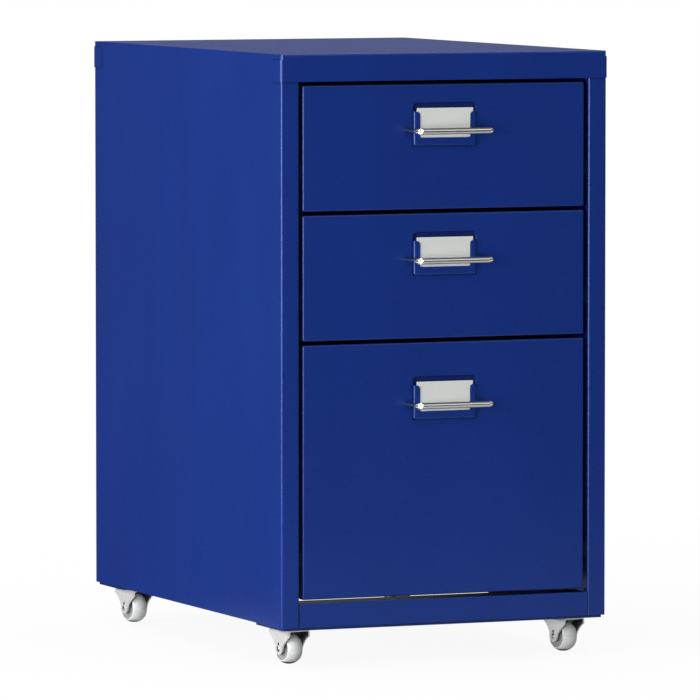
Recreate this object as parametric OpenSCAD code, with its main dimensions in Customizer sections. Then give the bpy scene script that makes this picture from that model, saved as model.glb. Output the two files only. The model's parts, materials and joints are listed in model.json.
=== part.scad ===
// Three-drawer steel cabinet on swivel castors.
// +X is right, +Y is towards the back, +Z is up. The origin lies on the floor, at the middle
// of the whole object's box. Every size is in millimetres.

/* [Body] */
// Width over the two side panels
body_w = 390; // [340:1:480]
// Depth of the side panels, front to back
body_d = 566; // [520:1:640]
// Height from the floor to the top
total_h = 672; // [620:1:760]
// Height of the body's underside above the floor
base_h = 44; // [43:0.5:52]
// Thickness of the body's sheet steel
sheet_t = 1; // [0.8:0.1:1.2]
// Outer radius of the folded edges
bend_r = 2; // [1.5:0.1:3]
// Width of the stile at each side of the drawers
stile_w = 21.4; // [18:0.2:26]
// Depth of the fold behind each stile
stile_fold = 12; // [10:0.5:14]

/* [Top cover] */
// Height of the front and back lips
lip_h = 30; // [22:0.5:40]
// Length of the tabs wrapped on to the side panels
wrap_len = 24; // [15:0.5:40]
// Distance from the top down to those tabs
wrap_drop = 6; // [4:0.5:12]

/* [Bottom rail] */
// Height of the rail below the drawers
rail_h = 26.5; // [22:0.5:34]
// Depth of the rail's upper flange
rail_top_d = 30; // [20:1:40]
// Depth of the rail's lower flange
rail_foot_d = 18; // [12:1:20]

/* [Back panel] */
// Depth of the fold round the back panel
back_fold = 10; // [8:0.5:12]
// Number of screws down each side of the back
back_screws = 4; // [3:1:6]
// Distance from the ends of the rear flanges to the first and last screw
back_screw_set = 40; // [20:1:80]
// Radius of a back screw's head
back_head_r = 3.6; // [3:0.1:5]
// Height of a back screw's head
back_head_h = 1.8; // [1.4:0.1:2.4]
// Radius of a back screw's shank
back_shank_r = 1.7; // [1.4:0.1:2]
// Length of a back screw's shank
back_shank_l = 7; // [5:0.5:9]

/* [Castor plates] */
// Depth of each castor plate, front to back
plate_d = 79; // [66:1:80]
// Inset of the plates from the sides and the front
plate_inset = 3; // [2:0.5:6]
// Height of the castor plates below the body
plate_drop = 3; // [2.3:0.1:4]
// Distance from the rear plate to the back of the body
rear_plate_gap = 3; // [2:1:30]

/* [Drawers] */
// Gap above and below each drawer front
drawer_gap = 4; // [3:0.5:6]
// Gap at each side of a drawer front
side_gap = 4.6; // [3.5:0.1:6]
// Distance of the drawer fronts behind the stiles
front_recess = 1.5; // [0:0.5:2.5]
// Height of each of the two shallow drawer fronts
shallow_h = 138; // [120:1:150]
// Depth of the fold round each drawer front
front_fold = 12; // [8:0.5:12]
// Outer width of the drawer boxes
box_w = 314; // [280:1:318]
// Distance from the drawer boxes to the back of the body
box_back_gap = 36.5; // [24:0.5:80]
// Thickness of the drawer boxes' sheet
box_t = 1; // [0.8:0.1:1.2]
// Height of a box floor above the lower edge of its front
floor_lift = 6; // [4:0.5:10]
// Distance from a shallow front's top edge down to its box
box_drop = 21; // [12:0.5:50]
// The same distance on the deep front
deep_box_drop = 33.5; // [12:0.5:90]
// Width of the rolled edge on top of the box sides
hem_w = 5; // [3:0.5:8]
// Width of the box tabs behind the front
box_tab_w = 9; // [7:0.5:10]

/* [Runners] */
// Height of a cabinet runner, outside
runner_h = 17; // [16:0.5:20]
// Depth of a cabinet runner's channel
runner_d = 11.3; // [10:0.1:12]
// Thickness of the runners and rails
runner_t = 1.2; // [1:0.1:1.4]
// Height of a runner above the lower edge of its drawer front
runner_lift = 34; // [26:1:50]
// Length of a runner's foot on the side panel
runner_foot_l = 22; // [16:1:30]
// Distance from a runner's end to the back of the body
runner_back_gap = 18; // [14:1:30]
// Length of the nylon glide in the end of each rail
glide_l = 30; // [20:1:45]
// Stretch of that glide that stands out behind the rail
glide_out = 6; // [4:0.5:8]
// Distance from a drawer front's fold to the start of its rails
rail_set = 2; // [1:0.5:6]

/* [Label holders] */
// Width of a label holder
holder_w = 75; // [60:1:84]
// Height of a label holder
holder_h = 47; // [40:1:60]
// Distance from a shallow front's top edge to its holder
holder_drop = 21; // [15:1:30]
// The same distance on the deep front
deep_holder_drop = 38; // [15:1:60]
// Height of a holder above the drawer front
holder_proud = 2.2; // [2:0.1:3]
// Thickness of a holder's sheet
holder_t = 0.7; // [0.6:0.05:0.8]
// Width of the rim over the card at the sides
holder_side = 7.4; // [5:0.1:9]
// Height of the rim over the card at the bottom
holder_foot = 9; // [5:0.1:9.5]
// Distance from a holder's top down to its side rims
holder_open = 9.5; // [7:0.5:12]
// Radius of a holder's upper corners
holder_r = 5; // [3:0.5:7]
// Radius of the side rims' inner upper corners
rim_r = 4; // [2:0.5:4.5]
// Thickness of a label card
card_t = 0.4; // [0.3:0.05:0.5]
// Distance from a holder's top down to its card
card_drop = 5.5; // [4:0.5:9]
// Gap beside a card in its holder
card_side_gap = 3; // [0.2:0.1:4]

/* [Pulls] */
// Length of a pull's bar
pull_l = 94.6; // [84:0.2:120]
// Distance from the drawer front to the middle of the bar
pull_out = 30.5; // [25:0.5:40]
// Radius of the bar
pull_r = 3.5; // [3:0.1:4.5]
// Length of the bar's tapered ends
pull_nose = 6; // [4:0.5:8]
// Radius at the tip of those ends
pull_tip_r = 1.3; // [0.8:0.1:2]
// Height of the pull's arms
arm_h = 3.4; // [3.2:0.1:4.5]
// Width of the pull's arms
arm_w = 6; // [5:0.5:7]
// Distance from a holder's top down to the bar
pull_drop = 30; // [20:1:32]
// Radius of the studs on the pull's arms
stud_r = 1.5; // [1.3:0.1:1.6]
// Length of the studs behind the front
stud_l = 4; // [3.5:0.5:5]
// Height of the nuts on those studs
nut_h = 2.4; // [2:0.1:3]
// Width of those nuts across their flats
nut_flats = 5.5; // [5:0.1:6.5]

/* [Castors] */
// Distance from the side of the body to a kingpin
castor_side = 29; // [29:0.5:45]
// Distance from the front plate's front edge to its kingpins
castor_set = 40.5; // [38:0.5:44]
// Distance from the rear plate's front edge to its kingpins
rear_castor_set = 28.5; // [26:0.5:44]
// Diameter of a wheel
wheel_d = 34.5; // [30:0.5:35]
// Width of a wheel's tread
wheel_w = 19; // [15:0.5:20]
// Radius of the wheel's flat sides, where its barrel-shaped tread ends
wheel_side_r = 13.8; // [13.3:0.1:14.5]
// Radius of the recess in the wheel's sides
wheel_dish_r = 12.6; // [9:0.1:13]
// Depth of that recess
wheel_dish = 2; // [1:0.1:3]
// Distance from the kingpin back to the axle
castor_trail = 4; // [3:0.5:8]
// Turn of the castors as they stand
castor_turn = 10; // [-30:1:30]
// Outer width of a fork
fork_w = 27.3; // [26.5:0.1:30]
// Thickness of a fork's sheet
fork_t = 1.8; // [1.4:0.1:2]
// Height of a fork's top above the wheel
fork_crown = 4.5; // [4:0.1:5]
// Length of a fork's top in front of the axle
fork_nose = 21.9; // [20:0.1:24]
// Length of a fork's top behind the axle
fork_tail = 19.7; // [15:0.1:20]
// Radius of a fork's lug round the axle
fork_lug_r = 6.5; // [5.5:0.1:7]
// Outer radius of a fork's shoulders
fork_shoulder = 3.5; // [3:0.1:4.5]
// Radius of a castor's axle
axle_r = 2.5; // [2:0.1:3]
// Radius of the axle's heads
axle_head_r = 3.4; // [3.2:0.1:4]
// Height of the axle's heads
axle_head_h = 1.1; // [0.8:0.1:1.5]
// Radius of the kingpin
kingpin_r = 3; // [2.5:0.1:3.5]
// Radius of the kingpin's head
kingpin_head_r = 5; // [4.5:0.1:6]
// Height of the kingpin's head
kingpin_head_h = 1.5; // [1:0.1:1.6]
// Wall of the wheel's hub round the axle
hub_wall = 2; // [1.5:0.1:3]
// Radius of the hollow front edge of a fork's sides
nose_hollow_r = 33.8; // [32.5:0.1:34]
// Distance of that hollow's centre in front of the axle
nose_hollow_out = 37.5; // [37.3:0.1:40]
// Distance of that hollow's centre below the axle
nose_hollow_down = 15.2; // [14.8:0.1:17]
// Radius of the hollow rear edge of a fork's sides
tail_hollow_r = 28.2; // [26.5:0.1:28.6]
// Distance of that hollow's centre behind the axle
tail_hollow_out = 33; // [32.8:0.1:36]
// Distance of that hollow's centre below the axle
tail_hollow_down = 8; // [6:0.1:10]
// Radius of the spare hole above the axle
spare_hole_r = 1.7; // [1.2:0.1:1.8]
// Height of that hole above the axle
spare_hole_up = 5.4; // [5.3:0.1:6]
// Side of the square mount plate
mount_w = 44; // [42:0.5:46]
// Thickness of the mount plate
mount_t = 1.4; // [1.2:0.1:1.5]
// Radius of the mount plate's corners
mount_corner_r = 4; // [2:0.5:5]
// Outer radius of the ball race pressed into the mount plate
race_r = 14; // [12:0.5:16]
// Width of that race
race_w = 5; // [4:0.5:7]
// Distance from the kingpin to each rivet, sideways and lengthways
rivet_set = 17; // [16:0.5:18]
// Radius of the castor rivets
rivet_r = 2.4; // [2:0.1:2.6]
// Radius of their heads
rivet_head_r = 4; // [3.5:0.1:4.4]
// Height of their heads
rivet_head_h = 1.3; // [1:0.1:1.4]

/* [Clearances] */
// Running gap of the drawer rails in their runners
run_gap = 0.3; // [0.2:0.05:0.5]
// Gap between the drawer boxes and the edges of the runners
box_gap = 1.5; // [1:0.1:3]
// Gap beside a rail inside its runner
rail_side_gap = 1; // [0.5:0.1:1.5]
// Gap behind a shut drawer front's fold
shut_gap = 0.6; // [0.4:0.1:0.9]
// Gap between pieces that are fitted into each other
seat_gap = 0.2; // [0.1:0.05:0.3]
// Radial play of a turning pin
pin_play = 0.05; // [0.02:0.01:0.08]

/* [Hidden] */

// Facets of a full circle, only for the preview: round faces stay true
$fn = 64;
// Overshoot of a cut past the face that it opens
cut = 1;

half_w = body_w / 2;
body_top = total_h - sheet_t;
// Half of the opening between the stiles
open_half = half_w - stile_w;

// The stiles' front face. The pulls in front and the back screws behind set the object's box.
front_reach = pull_out + pull_r - front_recess;
back_reach = body_d + max(back_head_h, sheet_t);
front_y = (front_reach - back_reach) / 2;

// Drawer fronts, from the bottom rail up to the cover's lip
rail_top = base_h + rail_h;
lip_bottom = total_h - lip_h;
bay_h = lip_bottom - rail_top;
deep_h = bay_h - 2 * shallow_h - 4 * drawer_gap;
front_h = [shallow_h, shallow_h, deep_h];
front_z = [
    lip_bottom - drawer_gap - shallow_h,
    lip_bottom - 2 * (drawer_gap + shallow_h),
    rail_top + drawer_gap
];
box_h = [
    shallow_h - floor_lift - box_drop,
    shallow_h - floor_lift - box_drop,
    deep_h - floor_lift - deep_box_drop
];
holder_top = [
    front_z[0] + shallow_h - holder_drop,
    front_z[1] + shallow_h - holder_drop,
    front_z[2] + deep_h - deep_holder_drop
];
front_w = 2 * (open_half - side_gap);
// Back face of a drawer front's sheet
front_back_y = front_recess + sheet_t;
box_l = body_d - box_back_gap - front_back_y;

// Runners and rails
runner_in = box_w / 2 + box_gap;
runner_out = runner_in + runner_d;
runner_y = front_recess + front_fold + shut_gap;
runner_l = body_d - runner_back_gap - runner_y;
rail_out = runner_out - runner_t - rail_side_gap;
rail_start = front_recess + front_fold + rail_set;
rail_end = front_back_y + box_l;

// Half-width of a card's slot, inside the holder's walls
slot_half = holder_w / 2 - holder_t;
// Radius of the fold along a holder's sides
holder_edge = 2 * holder_t;
// Distance from a pull's middle to each of its studs
stud_x = pull_l / 2 - arm_w / 2;

// Castor heights and places
axle_z = wheel_d / 2;
fork_top = wheel_d + fork_crown;
mount_top = base_h - sheet_t;
plate_bottom = base_h - plate_drop;
plate_y = [plate_inset, body_d - rear_plate_gap - plate_d];
castor_x = half_w - castor_side;
castor_sets = [castor_set, rear_castor_set];
castor_y = plate_y + castor_sets;
// Radius of the wheel's barrel-shaped tread, across its width
tread_r = (pow(wheel_w / 2, 2) + pow(axle_z - wheel_side_r, 2)) / 2 / (axle_z - wheel_side_r);

steel_blue = [0.10, 0.18, 0.48];
plated = [0.78, 0.78, 0.76];
zinc = [0.72, 0.73, 0.74];
nylon = [0.90, 0.91, 0.89];
paper = [0.88, 0.88, 0.85];

// Shared shapes

// Rectangle with rounded corners, from its lower left corner
module rounded_rect(w, d, r) {
    translate([r, 0]) square([w - 2 * r, d]);
    translate([0, r]) square([w, d - 2 * r]);
    for (x = [r, w - r], y = [r, d - r])
        translate([x, y]) circle(r);
}

// Puts a piece that is drawn from the stiles' front face in its place
module placed() {
    translate([0, front_y, 0]) children();
}

// Draws on the right, or mirrored on the left
module on_side(side) {
    mirror([side < 0 ? 1 : 0, 0, 0]) children();
}

// An outline drawn in depth and height, given a thickness to the right
module sideways(thickness) {
    rotate([90, 0, 90]) linear_extrude(thickness) children();
}

// An outline drawn in width and height, given a thickness towards the front
module frontways(thickness) {
    rotate([90, 0, 0]) linear_extrude(thickness) children();
}

// Cylinder lying front to back, from the given depth backwards
module bar_y(r, l) {
    rotate([-90, 0, 0]) cylinder(h = l, r = r);
}

// Cylinder lying left to right, about its middle
module bar_x(r, l) {
    rotate([0, 90, 0]) cylinder(h = l, r = r, center = true);
}

// Body

// Height of each back screw
function back_screw_z(i) =
    base_h + back_screw_set + i * (lip_bottom - base_h - 2 * back_screw_set) / (back_screws - 1);

// Outline of a side panel seen from above: stile, side and rear flange
module side_outline() {
    x0 = open_half;
    difference() {
        translate([x0, 0]) rounded_rect(stile_w, body_d, bend_r);
        translate([x0 + sheet_t, sheet_t])
            rounded_rect(stile_w - 2 * sheet_t, body_d - 2 * sheet_t, bend_r - sheet_t);
        translate([x0 - cut, stile_fold])
            square([cut + 2 * sheet_t, body_d - sheet_t - stile_fold]);
    }
}

module side_panel(side) {
    color(steel_blue) placed() on_side(side) difference() {
        union() {
            translate([0, 0, base_h]) linear_extrude(body_top - base_h) side_outline();
            for (z = [base_h, body_top - sheet_t])
                translate([open_half, 0, z]) linear_extrude(sheet_t)
                    rounded_rect(stile_w, body_d, bend_r);
        }
        for (y = castor_y, dy = [-rivet_set, rivet_set])
            translate([castor_x + rivet_set, y + dy, base_h - cut])
                cylinder(h = sheet_t + 2 * cut, r = rivet_r + pin_play);
        for (i = [0 : back_screws - 1])
            translate([half_w - stile_w / 2, body_d - sheet_t - cut, back_screw_z(i)])
                bar_y(back_shank_r + pin_play, sheet_t + 2 * cut);
    }
}

// A shallow pan, open towards the front, that stands inside the rear flanges
module back_panel() {
    w = body_w - 2 * (sheet_t + seat_gap);
    h = body_top - base_h - 2 * (sheet_t + seat_gap);
    z0 = base_h + sheet_t + seat_gap;
    y1 = body_d - sheet_t;
    deep = back_fold + 2 * bend_r;
    color(steel_blue) placed() difference() {
        intersection() {
            translate([-w / 2, y1 - deep, z0]) linear_extrude(h) rounded_rect(w, deep, bend_r);
            translate([-w / 2, y1 - back_fold, z0]) cube([w, back_fold, h]);
        }
        translate([-w / 2 + sheet_t, y1 - deep, z0 + sheet_t])
            linear_extrude(h - 2 * sheet_t)
                rounded_rect(w - 2 * sheet_t, deep - sheet_t, bend_r - sheet_t);
        for (side = [-1, 1], i = [0 : back_screws - 1])
            translate([side * (half_w - stile_w / 2), y1 - sheet_t - cut, back_screw_z(i)])
                bar_y(back_shank_r + pin_play, sheet_t + 2 * cut);
    }
}

module back_panel_screws() {
    color(zinc) placed()
        for (side = [-1, 1], i = [0 : back_screws - 1])
            translate([side * (half_w - stile_w / 2), body_d, back_screw_z(i)]) {
                translate([0, -back_shank_l, 0]) bar_y(back_shank_r, back_shank_l + cut);
                bar_y(back_head_r, back_head_h);
            }
}

// The cover from above, out to its lips' faces, with or without the thickness of its tabs
module cover_outline(tab_t) {
    translate([-half_w - tab_t, -sheet_t])
        rounded_rect(body_w + 2 * tab_t, body_d + 2 * sheet_t, bend_r + sheet_t);
}

// The cover's lips stand outside the stiles and the rear flanges, and its tabs on the sides
module top_cover() {
    w = body_w + 2 * sheet_t;
    color(steel_blue) placed() intersection() {
        union() {
            translate([0, 0, body_top]) linear_extrude(sheet_t) cover_outline(0);
            // lips over the full width
            translate([0, 0, lip_bottom]) linear_extrude(lip_h) difference() {
                cover_outline(0);
                translate([-w / 2, 0]) square([w, body_d]);
            }
            // lips that wrap round the corners
            translate([0, 0, lip_bottom]) linear_extrude(lip_h - wrap_drop) difference() {
                cover_outline(sheet_t);
                translate([-half_w, 0]) rounded_rect(body_w, body_d, bend_r);
                translate([-w / 2 - cut, wrap_len])
                    square([w + 2 * cut, body_d - 2 * wrap_len]);
            }
        }
        // round upper edges at the front and the back
        translate([-w / 2, -sheet_t, lip_bottom - lip_h]) sideways(w)
            rounded_rect(body_d + 2 * sheet_t, 2 * lip_h, bend_r);
    }
}

module bottom_rail() {
    w = 2 * (open_half - seat_gap);
    color(steel_blue) placed() translate([-w / 2, 0, base_h]) {
        cube([w, sheet_t, rail_h]);
        translate([0, 0, rail_h - sheet_t]) cube([w, rail_top_d, sheet_t]);
        cube([w, rail_foot_d, sheet_t]);
        for (x = [0, w - sheet_t])
            translate([x, 0, 0]) cube([sheet_t, stile_fold, rail_h]);
    }
}

module castor_plate(i) {
    w = body_w - 2 * plate_inset;
    color(steel_blue) placed() translate([0, plate_y[i], plate_bottom]) difference() {
        translate([-w / 2, 0, 0]) linear_extrude(plate_drop) rounded_rect(w, plate_d, bend_r);
        translate([sheet_t - w / 2, sheet_t, -cut]) linear_extrude(plate_drop - sheet_t + cut)
            rounded_rect(w - 2 * sheet_t, plate_d - 2 * sheet_t, bend_r - sheet_t);
        for (side = [-1, 1], dx = [-rivet_set, rivet_set], dy = [-rivet_set, rivet_set])
            translate([side * castor_x + dx, castor_sets[i] + dy, 0])
                cylinder(h = plate_drop + cut, r = rivet_r + pin_play);
    }
}

// A channel that is open towards the drawer, on a foot at each end that reaches the side panel
module cabinet_runner(i, side) {
    z0 = front_z[i] + runner_lift;
    reach = half_w - sheet_t - runner_out;
    color(zinc) placed() on_side(side) translate([0, runner_y, z0]) {
        difference() {
            translate([runner_in, 0, 0]) cube([runner_d, runner_l, runner_h]);
            translate([runner_in - cut, -cut, runner_t])
                cube([runner_d - runner_t + cut, runner_l + 2 * cut, runner_h - 2 * runner_t]);
        }
        for (end = [0, 1]) {
            y = end * (runner_l - runner_t);
            foot_y = end * (runner_l - runner_foot_l);
            translate([runner_out - runner_t, y, 0]) cube([reach + runner_t, runner_t, runner_h]);
            translate([runner_out + reach - runner_t, foot_y, 0])
                cube([runner_t, runner_foot_l, runner_h]);
        }
    }
}

// Drawers, drawn shut: 0 is the top one and 2 the deep one

// A shallow pan, open towards the back
module drawer_front(i) {
    h = front_h[i];
    color(steel_blue) placed() translate([-front_w / 2, front_recess, front_z[i]])
        difference() {
            intersection() {
                linear_extrude(h) rounded_rect(front_w, front_fold + 2 * bend_r, bend_r);
                sideways(front_w) rounded_rect(front_fold + 2 * bend_r, h, bend_r);
                cube([front_w, front_fold, h]);
            }
            translate([sheet_t, sheet_t, sheet_t]) linear_extrude(h - 2 * sheet_t)
                rounded_rect(front_w - 2 * sheet_t, front_fold + 2 * bend_r, bend_r - sheet_t);
            for (side = [-1, 1])
                translate([front_w / 2 + side * stud_x, -cut,
                           holder_top[i] - pull_drop - front_z[i]])
                    bar_y(stud_r + pin_play, sheet_t + 2 * cut);
        }
}

// Floor, two sides and a back, with tabs against the front and rolled upper edges
module drawer_box(i) {
    h = box_h[i];
    color(steel_blue) placed() translate([-box_w / 2, front_back_y, front_z[i] + floor_lift]) {
        difference() {
            cube([box_w, box_l, h]);
            translate([box_t, -cut, box_t])
                cube([box_w - 2 * box_t, box_l - box_t + cut, h + cut]);
        }
        for (side = [0, 1]) {
            translate([side ? box_w - box_t : -box_tab_w, 0, 0])
                cube([box_tab_w + box_t, box_t, h]);
            translate([side ? box_w - box_t : -hem_w, 0, h - box_t])
                cube([hem_w + box_t, box_l, box_t]);
        }
        translate([0, box_l - box_t, h - box_t]) cube([box_w, hem_w, box_t]);
    }
}

// A channel on the side of the box, open towards the cabinet's side
module drawer_rail(i, side) {
    z0 = front_z[i] + runner_lift + runner_t + run_gap;
    h = runner_h - 2 * runner_t - 2 * run_gap;
    color(zinc) placed() on_side(side) translate([box_w / 2, rail_start, z0])
        difference() {
            cube([rail_out - box_w / 2, rail_end - glide_out - rail_start, h]);
            translate([runner_t, -cut, runner_t])
                cube([rail_out, rail_end - rail_start + 2 * cut, h - 2 * runner_t]);
        }
}

module drawer_glides(i) {
    z0 = front_z[i] + runner_lift + 2 * runner_t + run_gap;
    h = runner_h - 4 * runner_t - 2 * run_gap;
    color(nylon) placed() for (side = [-1, 1]) on_side(side)
        translate([box_w / 2 + runner_t, rail_end - glide_l, z0])
            cube([rail_out - box_w / 2 - runner_t, glide_l, h]);
}

// Label holders

// The plate behind the card, seen from the front with its top at the origin
module holder_back_outline() {
    translate([-holder_w / 2, -holder_h]) {
        rounded_rect(holder_w, holder_h, holder_r);
        square([holder_w, holder_h / 2]);
    }
}

// The rim over the card: a U with rounded ends
module holder_rim_outline() {
    rim_h = holder_h - holder_open;
    window_w = holder_w - 2 * holder_side;
    difference() {
        translate([-holder_w / 2, -holder_h]) square([holder_w, rim_h]);
        translate([-window_w / 2, holder_foot - holder_h]) square([window_w, holder_h]);
        for (side = [-1, 1]) on_side(side)
            translate([window_w / 2, -holder_open - rim_r]) difference() {
                translate([-cut, 0]) square([rim_r + cut, rim_r + cut]);
                translate([rim_r, 0]) circle(rim_r);
            }
    }
}

module label_holder(i) {
    color(steel_blue) placed() translate([0, front_recess, holder_top[i]]) {
        frontways(holder_t) holder_back_outline();
        difference() {
            frontways(holder_proud) holder_rim_outline();
            // the slot that the card slides into
            translate([-slot_half, holder_t - holder_proud, holder_t - holder_h])
                cube([2 * slot_half, holder_proud - 2 * holder_t, holder_h]);
            // round long edges, as folded
            for (side = [-1, 1]) on_side(side)
                translate([holder_w / 2 - holder_edge, holder_edge - holder_proud, -holder_h - cut])
                    difference() {
                        translate([0, -holder_edge - cut, 0])
                            cube([holder_edge + cut, holder_edge + cut, holder_h + cut]);
                        cylinder(h = holder_h + cut, r = holder_edge);
                    }
        }
    }
}

module label_card(i) {
    w = 2 * (slot_half - card_side_gap);
    z0 = holder_t + seat_gap - holder_h;
    color(paper) placed()
        translate([-w / 2, front_recess - holder_t - card_t, holder_top[i] + z0])
            cube([w, card_t, holder_h - card_drop - holder_t - seat_gap]);
}

// Pulls

// One half of the bar's outline: straight, then an arc of points to the tip
function nose_r(t) = pull_tip_r + (pull_r - pull_tip_r) * cos(90 * t);

module pull_bar() {
    straight = pull_l / 2 - pull_nose;
    steps = 6;
    nose = [for (k = [0 : steps]) [nose_r(k / steps), straight + pull_nose * sin(90 * k / steps)]];
    for (side = [-1, 1])
        rotate([0, side * 90, 0]) rotate_extrude()
            polygon(concat([[0, 0], [pull_r, 0]], nose, [[0, straight + pull_nose]]));
}

module pull(i) {
    z = holder_top[i] - pull_drop;
    color(plated) placed() translate([0, front_recess, z]) {
        translate([0, -pull_out, 0]) pull_bar();
        for (side = [-1, 1]) translate([side * stud_x, 0, 0]) {
            translate([-arm_w / 2, -pull_out, -arm_h / 2]) cube([arm_w, pull_out, arm_h]);
            translate([0, -cut, 0]) bar_y(stud_r, cut + sheet_t + stud_l);
        }
    }
}

module pull_nuts(i) {
    color(zinc) placed() for (side = [-1, 1])
        translate([side * stud_x, front_back_y, holder_top[i] - pull_drop]) difference() {
            rotate([-90, 0, 0]) cylinder(h = nut_h, r = nut_flats / sqrt(3), $fn = 6);
            translate([0, -cut, 0]) bar_y(stud_r + pin_play, nut_h + 2 * cut);
        }
}

// Castors: row 0 is the front pair, row 1 the rear pair

module at_castor(row, side) {
    translate([side * castor_x, front_y + castor_y[row], 0]) children();
}

// Turns a castor to where it stands
module swivelled(row, side) {
    at_castor(row, side) rotate([0, 0, castor_turn]) children();
}

// Square plate with the ball race pressed down round the kingpin
module mount_plate(row, side) {
    color(zinc) at_castor(row, side) difference() {
        union() {
            translate([-mount_w / 2, -mount_w / 2, mount_top - mount_t]) linear_extrude(mount_t)
                rounded_rect(mount_w, mount_w, mount_corner_r);
            translate([0, 0, fork_top + seat_gap])
                cylinder(h = mount_top - fork_top - seat_gap, r = race_r);
        }
        translate([0, 0, fork_top - cut]) cylinder(h = mount_top - mount_t - fork_top + cut,
                                                   r = race_r - race_w);
        translate([0, 0, fork_top]) cylinder(h = base_h - fork_top, r = kingpin_r + pin_play);
        for (dx = [-rivet_set, rivet_set], dy = [-rivet_set, rivet_set])
            translate([dx, dy, fork_top]) cylinder(h = base_h - fork_top, r = rivet_r + pin_play);
    }
}

module castor_kingpins() {
    z0 = fork_top - fork_t - seat_gap - kingpin_head_h;
    color(zinc) for (row = [0, 1], side = [-1, 1]) at_castor(row, side) translate([0, 0, z0]) {
        cylinder(h = kingpin_head_h, r = kingpin_head_r);
        cylinder(h = mount_top - z0, r = kingpin_r);
    }
}

// Solid rivets through the mount plate and castor plate, the outer ones through the side too
module castor_rivets() {
    color(zinc) for (row = [0, 1], side = [-1, 1], dx = [-rivet_set, rivet_set],
                     dy = [-rivet_set, rivet_set]) {
        top = base_h + (side * dx > 0 ? sheet_t : 0);
        bottom = mount_top - mount_t;
        at_castor(row, side) translate([dx, dy, 0]) {
            translate([0, 0, bottom - rivet_head_h]) cylinder(h = rivet_head_h, r = rivet_head_r);
            translate([0, 0, bottom - cut / 2]) cylinder(h = top - bottom + cut, r = rivet_r);
            translate([0, 0, top]) cylinder(h = rivet_head_h, r = rivet_head_r);
        }
    }
}

// Side of a fork, in depth and height from the kingpin: two hollow edges down to the lug
module fork_side_outline() {
    nose = castor_trail - fork_nose;
    tail = castor_trail + fork_tail;
    difference() {
        translate([nose, axle_z - fork_lug_r]) square([tail - nose, fork_top]);
        translate([castor_trail - nose_hollow_out, axle_z - nose_hollow_down])
            circle(nose_hollow_r);
        translate([castor_trail + tail_hollow_out, axle_z - tail_hollow_down])
            circle(tail_hollow_r);
        translate([nose - cut, 0]) square([tail - nose + 2 * cut, axle_z - fork_lug_r / 3]);
    }
    translate([castor_trail, axle_z]) circle(fork_lug_r);
}

module fork_section(w, h, r) {
    translate([-w / 2, 0]) square([w, h - r]);
    translate([-w / 2, 0]) rounded_rect(w, h, r);
}

module fork(row, side) {
    nose = castor_trail - fork_nose;
    length = fork_nose + fork_tail;
    color(plated) swivelled(row, side) difference() {
        intersection() {
            translate([-fork_w / 2, 0, 0]) sideways(fork_w) fork_side_outline();
            translate([0, nose + length, 0]) frontways(length)
                fork_section(fork_w, fork_top, fork_shoulder);
        }
        translate([0, nose + length + cut, -cut]) frontways(length + 2 * cut)
            fork_section(fork_w - 2 * fork_t, fork_top - fork_t + cut,
                         fork_shoulder - fork_t);
        translate([0, 0, fork_top - fork_t - cut]) cylinder(h = fork_t + 2 * cut,
                                                            r = kingpin_r + pin_play);
        translate([0, castor_trail, axle_z]) bar_x(axle_r + pin_play, fork_w + cut);
        translate([0, castor_trail, axle_z + spare_hole_up]) bar_x(spare_hole_r, fork_w + cut);
    }
}

module axle(row, side) {
    color(zinc) swivelled(row, side) translate([0, castor_trail, axle_z]) {
        bar_x(axle_r, fork_w + cut);
        for (end = [-1, 1])
            translate([end * (fork_w + axle_head_h) / 2, 0, 0]) bar_x(axle_head_r, axle_head_h);
    }
}

// Half-outline of the wheel, from its axis out
module wheel_outline() {
    hub_half = fork_w / 2 - fork_t - seat_gap;
    hub_r = axle_r + hub_wall;
    difference() {
        intersection() {
            translate([0, -wheel_w / 2]) square([axle_z, wheel_w]);
            translate([axle_z - tread_r, 0]) circle(tread_r);
        }
        for (end = [0, 1])
            translate([0, end ? wheel_w / 2 - wheel_dish : -wheel_w / 2 - cut])
                square([wheel_dish_r, wheel_dish + cut]);
    }
    translate([0, -hub_half]) square([hub_r, 2 * hub_half]);
}

module wheel(row, side) {
    color(nylon) swivelled(row, side) translate([0, castor_trail, axle_z])
        difference() {
            rotate([0, 90, 0]) rotate_extrude() wheel_outline();
            bar_x(axle_r + pin_play, fork_w);
        }
}

// Nodes

side_panel(-1);  // left_side_panel
side_panel(1);  // right_side_panel
back_panel();
back_panel_screws();
top_cover();
bottom_rail();
castor_plate(0);  // front_castor_plate
castor_plate(1);  // rear_castor_plate

cabinet_runner(0, -1);  // runner_top_left
cabinet_runner(0, 1);  // runner_top_right
cabinet_runner(1, -1);  // runner_middle_left
cabinet_runner(1, 1);  // runner_middle_right
cabinet_runner(2, -1);  // runner_bottom_left
cabinet_runner(2, 1);  // runner_bottom_right

mount_plate(0, -1);  // mount_plate_front_left
mount_plate(0, 1);  // mount_plate_front_right
mount_plate(1, -1);  // mount_plate_rear_left
mount_plate(1, 1);  // mount_plate_rear_right
castor_kingpins();
castor_rivets();

drawer_front(0);  // top_drawer_front
drawer_box(0);  // top_drawer_box
drawer_rail(0, -1);  // top_drawer_rail_left
drawer_rail(0, 1);  // top_drawer_rail_right
drawer_glides(0);  // top_drawer_glides
label_holder(0);  // top_label_holder
label_card(0);  // top_label_card
pull(0);  // top_pull
pull_nuts(0);  // top_pull_nuts

drawer_front(1);  // middle_drawer_front
drawer_box(1);  // middle_drawer_box
drawer_rail(1, -1);  // middle_drawer_rail_left
drawer_rail(1, 1);  // middle_drawer_rail_right
drawer_glides(1);  // middle_drawer_glides
label_holder(1);  // middle_label_holder
label_card(1);  // middle_label_card
pull(1);  // middle_pull
pull_nuts(1);  // middle_pull_nuts

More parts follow.
